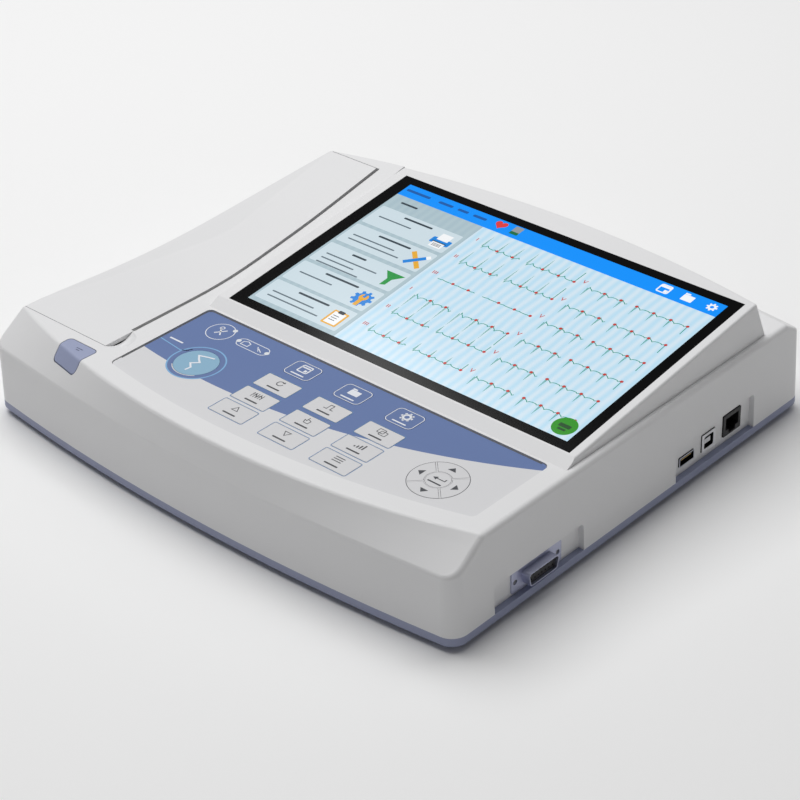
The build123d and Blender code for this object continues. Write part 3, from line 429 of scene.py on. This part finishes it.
def trace(lines, start, v, spike):
    """Two runs of beats with a short gap between them."""
    for first, beats in ((start, 2), (start + SECOND_RUN, 3)):
        points = []
        for i in range(beats):
            points += beat_points(first + i * BEAT, v, spike)
        if beats == 2:
            points += beat_points(first + 2 * BEAT, v, spike)[:7]
        else:
            points += [(first + 3 * BEAT, v), (first + 3 * BEAT + 0.3, v + spike)]
        lines.stroke([p for i, p in enumerate(points) if i == 0 or p != points[i - 1]], TRACE_WIDTH)


def draw_background():
    """Bar, menu column and plot area."""
    bar = screen("bar", (0, 146, 255), 1)
    bar.box(LIT_LEFT, BAR_FRONT, LIT_RIGHT, LIT_REAR)
    bar.done()
    column = screen("menu_column", (168, 190, 200), 1)
    column.box(LIT_LEFT, LIT_FRONT, MENU_RIGHT, BAR_FRONT)
    column.done()
    plot = screen("plot_area", (203, 228, 243), 1)
    plot.box(MENU_RIGHT, LIT_FRONT, LIT_RIGHT, BAR_FRONT)
    plot.done()
    tint_bands(bpy.data.materials["screen_plot_area"])
    tint_bands(bpy.data.materials["screen_menu_column"], (170, 192, 202), (177, 198, 206))


def tint_bands(material, light=(214, 232, 244), deep=(188, 224, 244)):
    """Faint slanted bands, as a lit panel shows."""
    tree = material.node_tree
    surface = tree.nodes["Principled BSDF"]
    waves = tree.nodes.new("ShaderNodeTexWave")
    waves.inputs["Scale"].default_value = 55
    waves.inputs["Distortion"].default_value = 1.5
    waves.inputs["Detail"].default_value = 1.0
    tree.links.new(object_position(tree), waves.inputs["Vector"])
    mix = tree.nodes.new("ShaderNodeMix")
    mix.data_type = "RGBA"
    mix.inputs["A"].default_value = (*srgb(*light), 1)
    mix.inputs["B"].default_value = (*srgb(*deep), 1)
    tree.links.new(waves.outputs["Fac"], mix.inputs["Factor"])
    tree.links.new(mix.outputs["Result"], surface.inputs["Emission Color"])


def draw_traces():
    """Twelve leads in two columns, with beat marks and lead marks."""
    lines = screen("traces", (40, 150, 128), 3)
    for v, spike in zip(TRACE_ROWS, LIMB_SPIKES):
        trace(lines, LIMB_START, v, spike)
    for v, spike in zip(TRACE_ROWS, CHEST_SPIKES):
        trace(lines, CHEST_START, v, spike)
    lines.done()
    marks = screen("beat_marks", (196, 62, 56), 4)
    for start in (LIMB_START, CHEST_START):
        for v in TRACE_ROWS:
            for offset in BEAT_MARKS:
                if start == LIMB_START and offset == BEAT_MARKS[2]:
                    continue
                marks.disc(start + offset, v + 0.3, 1.0, 20)
    for row, v in enumerate(TRACE_ROWS):
        for i in range(row % 3 + 1):
            marks.box(-41.6 + 1.3 * i, v + 2.4, -41.0 + 1.3 * i, v + 5.0)
        marks.stroke([(36.6, v + 5.0), (37.8, v + 2.4), (39.0, v + 5.0)], 0.5)
    marks.done()


def draw_menu():
    """Five cards with plain lines in place of words."""
    cards = screen("cards", (206, 222, 230), 2)
    titles = screen("card_titles", (62, 78, 90), 3, 0.6)
    lines = screen("card_lines", (120, 138, 150), 3, 0.6)
    titles.box(-106, 50.6, -93, 52.2, 0.6)
    for index, (top, length) in enumerate(zip(CARD_TOPS, TITLE_LENGTHS)):
        bottom = max(top - CARD_HEIGHT, LIT_FRONT)
        cards.box(CARD_LEFT, bottom, CARD_RIGHT, top, 1.2)
        titles.box(TITLE_LEFT, top - 4.2, TITLE_LEFT + length, top - 2.6, 0.6)
        for row in range(1 + index % 3):
            line_top = top - 9.5 - 4.4 * row
            line_right = -82 + 7 * ((index + row) % 3)
            lines.box(TEXT_LEFT, line_top - 1.1, line_right, line_top, 0.4)
    cards.done()
    titles.done()
    lines.done()


def draw_menu_icons():
    """Printer, pencil and rule, funnel, wheel and clipboard."""
    u = ICON_MIDDLE
    middles = [top - CARD_HEIGHT / 2 - 0.6 for top in CARD_TOPS]
    blue = screen("icon_blue", (24, 132, 220), 4)
    gold = screen("icon_gold", (232, 172, 52), 5)
    white = screen("icon_white", (246, 248, 250), 6)
    green = screen("icon_green", (34, 150, 66), 4)
    dark = screen("icon_dark", (52, 58, 70), 7, 0.5)
    v = middles[0]
    blue.box(u - 7, v - 3.4, u + 7, v + 2.2, 1.0)
    white.box(u - 4, v + 0.4, u + 4, v + 6.8)
    white.box(u - 4.4, v - 7.0, u + 4.4, v - 1.8)
    dark.box(u - 5.2, v - 2.2, u + 5.2, v - 1.5)
    for row in range(3):
        dark.box(u - 3.2, v - 3.8 - row, u + 3.2, v - 3.4 - row)
    v = middles[1]
    gold.stroke([(u - 6.4, v + 6.2), (u + 6.4, v - 6.2)], 3.0)
    blue.lift = 6 * PRINT_LIFT
    blue.stroke([(u - 5.2, v - 5.2), (u + 4.4, v + 4.4)], 3.0)
    blue.lift = 4 * PRINT_LIFT
    white.stroke([(u + 4.4, v + 4.4), (u + 6.4, v + 6.4)], 3.0)
    v = middles[2]
    funnel = [(-1.6, -6.6), (1.6, -5.2), (1.8, 0.4), (7, 6.4), (-7, 6.4), (-1.6, 0.4)]
    green.polygon(moved(funnel, u, v))
    v = middles[3]
    blue.polygon(moved(gear_outline(9, 5.4, 7.1), u, v))
    gold.disc(u, v + 1.4, 3.0, 30)
    gold.box(u - 1.4, v - 7.0, u + 1.4, v - 0.5, 0.6)
    blue.lift = 7 * PRINT_LIFT
    blue.box(u - 1.0, v + 1.2, u + 1.0, v + 4.8)
    v = middles[4]
    gold.box(u - 5.6, v - 6.6, u + 5.6, v + 6.4, 0.8)
    white.box(u - 4.2, v - 5.4, u + 4.2, v + 5.2)
    dark.box(u - 2.2, v + 4.4, u + 2.2, v + 7.0, 0.6)
    for row in range(3):
        dark.box(u - 3.0, v + 1.6 - 2 * row, u + 1.4, v + 2.1 - 2 * row)
    for drawing in (blue, gold, white, green, dark):
        drawing.done()


def draw_bar_icons():
    """Heart, battery, three tool icons and a plain strip for the clock."""
    clock = screen("bar_clock", (24, 92, 170), 2)
    for left, right in ((-112.5, -94), (-87, -76), (-72, -64), (-60, -50)):
        clock.box(left, 63.0, right, 65.2, 0.8)
    clock.done()
    heart = screen("bar_heart", (224, 62, 62), 3)
    points = []
    for i in range(48):
        t = 2 * math.pi * i / 48
        x = 16 * math.sin(t) ** 3
        y = 13 * math.cos(t) - 5 * math.cos(2 * t) - 2 * math.cos(3 * t) - math.cos(4 * t)
        points.append((-39.4 - x * 0.26, 64.8 + y * 0.26))
    heart.polygon(points)
    heart.done()
    battery = screen("bar_battery", (150, 156, 160), 3)
    battery.box(-30.4, 61.6, -24.6, 68.6, 0.5)
    battery.done()
    charge = screen("bar_charge", (26, 110, 66), 4)
    charge.box(-30.4, 60.6, -24.6, 63.2, 0.4)
    charge.done()
    tools = screen("bar_tools", (246, 250, 255), 3)
    tools.stroke(rounded(75.2, 60.6, 82.2, 67.4, 1.0), 0.9, closed=True)
    tools.box(75.4, 65.0, 82.0, 66.8)
    tools.box(79.4, 61.2, 81.6, 63.4)
    tools.box(91.0, 60.8, 98.2, 66.2, 0.5)
    tools.box(91.0, 66.4, 94.4, 67.6, 0.3)
    tools.polygon(moved(gear_outline(8, 2.5, 3.4), 110.4, 64.0))
    tools.done()
    hub = screen("bar_hub", (0, 146, 255), 4)
    hub.disc(110.4, 64.0, 1.2, 20)
    hub.done()
    button = screen("round_button", (44, 146, 28), 5)
    button.disc(108.5, -60.6, 7.1, 48)
    button.done()
    sign = screen("round_button_sign", (34, 92, 40), 6, 0.6)
    sign.box(104.8, -61.8, 112.2, -59.0, 0.5)
    sign.box(106.0, -64.2, 111.0, -62.6)
    sign.done()


# ---- keypad print and a painted shade line, millimetres --------------------------------------
KEY_INKS = {"dark": (70, 72, 78), "white": (240, 243, 250)}
START_RING = 16.4                           # radius of the light ring round the start key
START_BAND = 14.75                          # middle radius of the blue band inside it
PAD_RING = 16.15                            # radius of the line round the direction pad
CORNER = 3.4                                # corner radius of the painted shade line at the sheet's edge


def key_middle(node):
    """Middle of a key's top, in millimetres."""
    low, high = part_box(node)
    return (low[0] + high[0]) / 2 / MM, (low[1] + high[1]) / 2 / MM


def key_print(key, color_name):
    """Drawing on the top of one key."""
    name = key.replace("key_", "print_")
    material = bpy.data.materials.get("ink_" + color_name)
    if material is None:
        material = gloss("ink_" + color_name, srgb(*KEY_INKS[color_name]), 0.4)
    return Drawing(name, on_keypad, material, key.replace("key_", "body_"), 3)


def icon_refresh(ink, u, v):
    ink.stroke(arc(u, v, 2.0, 60, 360), 0.55)
    ink.polygon(moved([(0.6, 1.0), (2.4, 1.2), (1.6, 2.8)], u, v + 0.1))


def icon_calibrate(ink, u, v):
    pulse = [(-3.4, -1.8), (-1.2, -1.8), (-1.2, 2.2), (1.2, 2.2), (1.2, -1.8), (3.4, -1.8)]
    ink.stroke(moved(pulse, u, v), 0.5)


def icon_copy(ink, u, v):
    ink.stroke(moved(rounded(-3.2, -1.0, 1.2, 2.4, 0.5), u, v), 0.45, closed=True)
    ink.stroke(moved(rounded(-1.0, -2.4, 3.4, 1.0, 0.5), u, v), 0.45, closed=True)


def icon_speed(ink, u, v):
    for i in range(5):
        ink.stroke(moved([(-4 + 1.7 * i, -2.2), (-4 + 1.7 * i, 2.2)], u, v), 0.45)
    ink.stroke(moved([(-4, -0.4), (-2.4, 1.6), (-0.6, -1.4), (1.2, 1.4), (2.9, -0.6)], u, v), 0.45)


def icon_mode(ink, u, v):
    ink.stroke(moved([(-1.4, -2.4), (-2.2, 0.0), (-0.8, -0.4), (-0.8, 2.6)], u, v), 0.45)
    ink.stroke(moved([(-0.8, 0.8), (0.4, 0.8), (1.8, 0.2), (1.6, -2.4), (-1.4, -2.4)], u, v), 0.45)


def icon_gain(ink, u, v):
    for i, height in enumerate((1.2, 2.2, 3.2, 4.4)):
        ink.box(u - 3 + 1.8 * i, v - 2.2, u - 2.1 + 1.8 * i, v - 2.2 + height)


def icon_lead_up(ink, u, v):
    ink.stroke(moved([(-2.1, -1.6), (2.1, -1.6), (0, 2.0)], u, v), 0.45, closed=True)


def icon_lead_down(ink, u, v):
    ink.stroke(moved([(-2.1, 1.6), (0, -2.0), (2.1, 1.6)], u, v), 0.45, closed=True)


def icon_menu(ink, u, v):
    for i in range(3):
        ink.box(u - 3.2, v - 2.0 + 1.8 * i, u + 3.2, v - 1.4 + 1.8 * i)


def icon_layout(ink, u, v):
    ink.stroke(moved(rounded(-3.4, -3.2, 3.4, 3.2, 0.8), u, v), 0.9, closed=True)
    ink.box(u - 3.2, v + 0.9, u + 3.2, v + 2.0)
    ink.box(u + 0.6, v - 2.4, u + 2.4, v - 0.4)


def icon_archive(ink, u, v):
    ink.box(u - 3.6, v - 2.8, u + 3.6, v + 1.8, 0.5)
    ink.box(u - 3.6, v + 2.0, u - 0.4, v + 3.2, 0.3)


def icon_settings(ink, u, v):
    ink.stroke(arc(u, v, 2.2, 0, 360, 32)[:-1], 1.5, closed=True)
    for i in range(8):
        angle = math.radians(45 * i)
        ink.stroke([(u + 2.6 * math.cos(angle), v + 2.6 * math.sin(angle)),
                    (u + 3.9 * math.cos(angle), v + 3.9 * math.sin(angle))], 1.3)


GRID_ICONS = {
    "key_refresh": icon_refresh, "key_calibrate": icon_calibrate, "key_copy": icon_copy,
    "key_speed": icon_speed, "key_mode": icon_mode, "key_gain": icon_gain,
    "key_lead_up": icon_lead_up, "key_lead_down": icon_lead_down, "key_menu": icon_menu,
}
FUNCTION_ICONS = {"key_layout": icon_layout, "key_archive": icon_archive, "key_settings": icon_settings}


def print_keys():
    """Icons and plain strips on the keys."""
    for key, icon in GRID_ICONS.items():
        u, v = key_middle(key)
        ink = key_print(key, "dark")
        icon(ink, u, v + 2.2)
        ink.box(u - 4.6, v - 4.0, u + 4.6, v - 2.9, 0.4)
        ink.done()
    for key, icon in FUNCTION_ICONS.items():
        u, v = key_middle(key)
        ink = key_print(key, "white")
        icon(ink, u, v + 1.6)
        ink.box(u - 4.8, v - 5.2, u + 4.8, v - 4.2, 0.4)
        ink.stroke(rounded(u - 9.1, v - 7.0, u + 9.1, v + 7.0, 3.0), 0.45, closed=True)
        ink.done()
    u, v = key_middle("key_start")
    ink = key_print("key_start", "white")
    wave = [
        (5.4, 9.6), (0.6, 8.4), (-4.6, 6.6), (-1.6, 3.6), (1.4, 1.4), (-2.6, -2.2), (1.0, -5.4), (0.4, -9.4),
    ]
    ink.stroke(moved(wave, u, v, 0.95), 1.1)
    ink.done()
    for key, angle in (("key_right", 0), ("key_up", 90), ("key_left", 180), ("key_down", 270)):
        turn = Matrix.Rotation(math.radians(angle), 2)
        centre = Vector(key_middle("key_enter"))
        ink = key_print(key, "dark")
        ink.polygon([centre + turn @ Vector(corner) for corner in ((10.2, -2.6), (13.4, 0.0), (10.2, 2.6))])
        ink.done()
    u, v = key_middle("key_enter")
    ink = key_print("key_enter", "dark")
    ink.stroke(moved([(3.6, 2.6), (3.6, 0.8), (-1.6, 0.8)], u, v), 0.6)
    ink.polygon(moved([(-1.4, -0.6), (-1.4, 2.2), (-4.0, 0.8)], u, v))
    ink.box(u - 4.4, v - 3.6, u + 4.4, v - 2.6, 0.4)
    ink.done()


def sheet_print_and_shade(name, ink, color, roughness=0.4):
    """Drawing in a new colour on the keypad sheet, for printed ink and for the painted shade line."""
    return Drawing(name, on_keypad, gloss(ink, srgb(*color), roughness), "housing", 1)


def print_start_ring():
    """Light ring with a tail, and the blue band inside it."""
    u, v = key_middle("key_start")
    rim = sheet_print_and_shade("print_sheet_rim", "ink_light_blue", (130, 182, 226))
    rim.stroke(arc(u, v, START_RING, 0, 360, 72)[:-1], 0.9, closed=True)
    rim.stroke([(-86.6, -97.6), (-68.0, -99.9), (-64.4, -98.0), (-63.0, -95.0)], 0.7)
    rim.done()
    band = sheet_print_and_shade("print_start_band", "ink_band_blue", SHEET_BLUE)
    band.stroke(arc(u, v, START_BAND, 0, 360, 72)[:-1], 2.4, closed=True)
    band.done()


def paint_recess_shade():
    """Painted shade: a dark grey line along the sheet's left and rear edges, where the recess wall casts its
    shadow.
    """
    # the grey (84, 84, 88) is painted shade of the recess wall, not printed ink
    edge = sheet_print_and_shade("paint_recess_shade", "painted_recess_shade", (84, 84, 88), 0.5)
    left, rear = overlay_low[0] / MM + 0.4, overlay_high[1] / MM - 0.4
    corner = arc(left + CORNER, rear - CORNER, CORNER, 180, 90, 10)
    edge.stroke([(left, -126), (left, rear - CORNER), *corner[1:], (156, rear)], 0.7)
    edge.done()


def print_key_outlines():
    """Blue outline round each grey key."""
    outline = sheet_print_and_shade("print_key_outlines", "ink_mid_blue", (96, 140, 190))
    for key in GRID_ICONS:
        u, v = key_middle(key)
        outline.stroke(rounded(u - 12.75, v - 6.95, u + 12.75, v + 6.95, 1.2), 0.35, closed=True)
    outline.done()


def print_lamp_signs():
    """Ring and capsule round the status lamps, their signs and a strip above the start key."""
    white = Drawing("print_sheet_signs", on_keypad, bpy.data.materials["ink_white"], "housing", 1)
    white.stroke(arc(-64.9, -72.1, 8.4, 55, 395, 60), 0.5)
    white.stroke([(-67.4, -69.0), (-62.6, -75.0)], 0.9)
    white.stroke([(-62.4, -69.0), (-67.2, -75.0)], 0.9)
    white.stroke(arc(-66.9, -68.6, 1.3, 0, 360, 20)[:-1], 0.6, closed=True)
    white.stroke(rounded(-50.6, -76.0, -27.4, -68.4, 3.7), 0.5, closed=True)
    house = [(-47.0, -74.0), (-47.0, -71.0), (-44.4, -69.8), (-41.8, -71.0), (-41.8, -74.0)]
    white.stroke(house, 0.6, closed=True)
    white.stroke([(-36.6, -70.4), (-33.6, -73.8), (-34.8, -71.6), (-31.4, -73.8)], 0.6)
    white.box(-82.6, -94.6, -72.0, -93.4, 0.5)
    white.done()


def print_pad_ring():
    """Thin line round the direction pad."""
    pad = Drawing("print_pad_ring", on_keypad, bpy.data.materials["ink_dark"], "housing", 1)
    u, v = key_middle("key_enter")
    pad.stroke(arc(u, v, PAD_RING, 0, 360, 72)[:-1], 0.22, closed=True)
    pad.done()


def print_button():
    """Two short strokes on the lid release button."""
    low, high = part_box("lid_release_button")

    def on_button(x, y, lift):
        return Vector((x * MM, y * MM, high[2] + lift))

    material = gloss("ink_release", srgb(92, 98, 128), 0.4)
    ink = Drawing("print_release", on_button, material, "release_button", 1)
    u, v = (low[0] + high[0]) / 2 / MM + 1.5, high[1] / MM - 4.5
    ink.box(u - 2.6, v - 0.3, u + 2.6, v + 0.3)
    ink.box(u - 1.4, v - 1.9, u + 1.4, v - 1.3)
    ink.done()


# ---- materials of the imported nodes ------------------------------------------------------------
SOCKET_RIM = 0.25 * MM                      # depth of the light rim round a socket's mouth; deeper in, the colour is painted shade
ARC_CENTRE = (-0.033, 0.287)                # of the arc between blue and grey on the keypad
ARC_RADIUS = 0.4005


def keypad_sheet():
    """Printed sheet: blue behind a long arc, light grey in front of it."""
    material, tree, surface = shader("keypad_sheet")
    place = coordinates(tree)
    total = tree.nodes.new("ShaderNodeMath")
    for index, (axis, centre) in enumerate(zip("XY", ARC_CENTRE)):
        offset = math_node(tree, "SUBTRACT", place[axis], centre)
        tree.links.new(math_node(tree, "POWER", offset, 2), total.inputs[index])
    inside = math_node(tree, "LESS_THAN", total.outputs[0], ARC_RADIUS ** 2)
    two_tone(tree, surface, inside, srgb(222, 222, 224), srgb(*SHEET_BLUE))
    vary_roughness(tree, surface, 0.42, 0.04, 60)
    add_grain(tree, surface, 4000, 0.00001)
    return material


def socket_with_painted_shade(name, node, rim, metallic):
    """Socket with a light rim; deeper inside its mouth the colour is near-black painted shade."""
    material, tree, surface = shader(name)
    outside = math_node(tree, "GREATER_THAN", coordinates(tree)["X"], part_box(node)[1][0] - SOCKET_RIM)
    # srgb(14, 14, 16) inside the mouth is painted shade for the dark depth of the socket
    two_tone(tree, surface, outside, srgb(14, 14, 16), rim)
    surface.inputs["Metallic"].default_value = metallic
    vary_roughness(tree, surface, 0.4, 0.05, 40)
    return material


def draw_socket_insides():
    """White tongue of the square USB socket and gold contacts of the flat one."""
    for node, color, half_width, bottom, top, depth in (
        ("usb_b_socket", (236, 236, 240), 2.7, -1.5, 1.5, 1.0),
        ("usb_a_socket", (190, 160, 90), 4.4, 0.5, 1.1, 0.8),
    ):
        low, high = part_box(node)
        face = high[0] - depth * MM

        def on_tongue(y, z, lift, face=face):
            return Vector((face + lift, y * MM, z * MM))

        material = plain("tongue_" + node, srgb(*color), 0.4)
        tongue = Drawing("face_" + node, on_tongue, material, "housing", 1)
        y, z = (low[1] + high[1]) / 2 / MM, (low[2] + high[2]) / 2 / MM
        tongue.box(y - half_width, z + bottom, y + half_width, z + top)
        tongue.done()


def dress_nodes():
    """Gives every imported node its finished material."""
    white = moulded("shell_white", srgb(233, 233, 234))
    tray = moulded("tray_blue", srgb(152, 158, 186))
    lavender = moulded("button_lavender", srgb(158, 166, 196), 0.4)
    grey = moulded("inner_grey", srgb(120, 122, 126), 0.5)
    black = moulded("socket_black", srgb(22, 22, 24), 0.45)
    steel = metal("zinc_steel", srgb(168, 170, 176), 0.34)
    plated = metal("nickel_plate", srgb(190, 193, 214), 0.46)
    aluminium = metal("aluminium", srgb(200, 202, 206), 0.32)
    brass = metal("brass", srgb(208, 176, 96), 0.28)
    rubber = moulded("soft_rubber", srgb(38, 38, 40), 0.75, 1500, 0.00008)
    board = plain("solder_mask", srgb(24, 92, 52), 0.35)
    paper = moulded("chart_paper", srgb(240, 226, 222), 0.7, 3000, 0.00002)
    finishes = {
        "top_shell": white, "printer_lid": white, "base_tray": tray, "battery_door": tray,
        "battery_pack": plain("battery_wrap", srgb(48, 92, 150), 0.4), "hinge_pins": steel,
        "platen_rubber": rubber, "platen_shaft": steel,
        "platen_gear": moulded("acetal", srgb(226, 222, 210), 0.4), "motor_pinion": brass,
        "stepper_motor": steel, "motor_bracket": steel,
        "printhead_ceramic": gloss("glazed_alumina", srgb(214, 206, 190), 0.2),
        "printhead_heatsink": aluminium, "coil_springs": steel, "paper_tray": grey,
        "roll_spindle": grey, "paper_roll": paper, "lid_release_button": lavender, "lid_latch": grey,
        "keypad_overlay": keypad_sheet(), "keypad_board": board,
        "status_leds": gloss("led_lens", srgb(240, 244, 248), 0.15),
        "display_glass": black_glass(), "lcd_panel": black,
        "display_bracket": steel, "main_board": board, "supply_board": board, "input_board": board,
        "patient_connector_shell": plated, "patient_connector_insert": black,
        # both socket materials carry painted shade inside the mouth
        "usb_a_socket": socket_with_painted_shade("socket_rim_plated", "usb_a_socket", srgb(206, 208, 220), 0.6),
        "usb_b_socket": socket_with_painted_shade("socket_rim_white", "usb_b_socket", srgb(240, 240, 244), 0.0),
        "lan_socket": black,
        "mains_inlet": black, "rocker_housing": black,
        "power_rocker": gloss("rocker", srgb(16, 16, 18), 0.2),
        "earth_post": plated, "rubber_feet": rubber, "housing_screws": steel,
        "key_start": gloss("start_blue", srgb(143, 186, 213), 0.38),
    }
    finishes["idler_gear"] = finishes["platen_gear"]
    blue_key = gloss("key_blue", srgb(*SHEET_BLUE), 0.4)
    grey_key = gloss("key_grey", srgb(222, 222, 224), 0.42)
    for name, node in NODES.items():
        if name in finishes:
            finish = finishes[name]
        else:
            finish = blue_key if name in FUNCTION_ICONS else grey_key
        for index in range(len(node.material_slots)):
            node.material_slots[index].material = finish


dress_nodes()
draw_background()
draw_traces()
draw_menu()
draw_menu_icons()
draw_bar_icons()
print_keys()
print_start_ring()
# the dark line at the sheet's left and rear edges is painted recess shade
paint_recess_shade()
print_key_outlines()
print_lamp_signs()
print_pad_ring()
print_button()
draw_socket_insides()
add_camera()
add_studio()
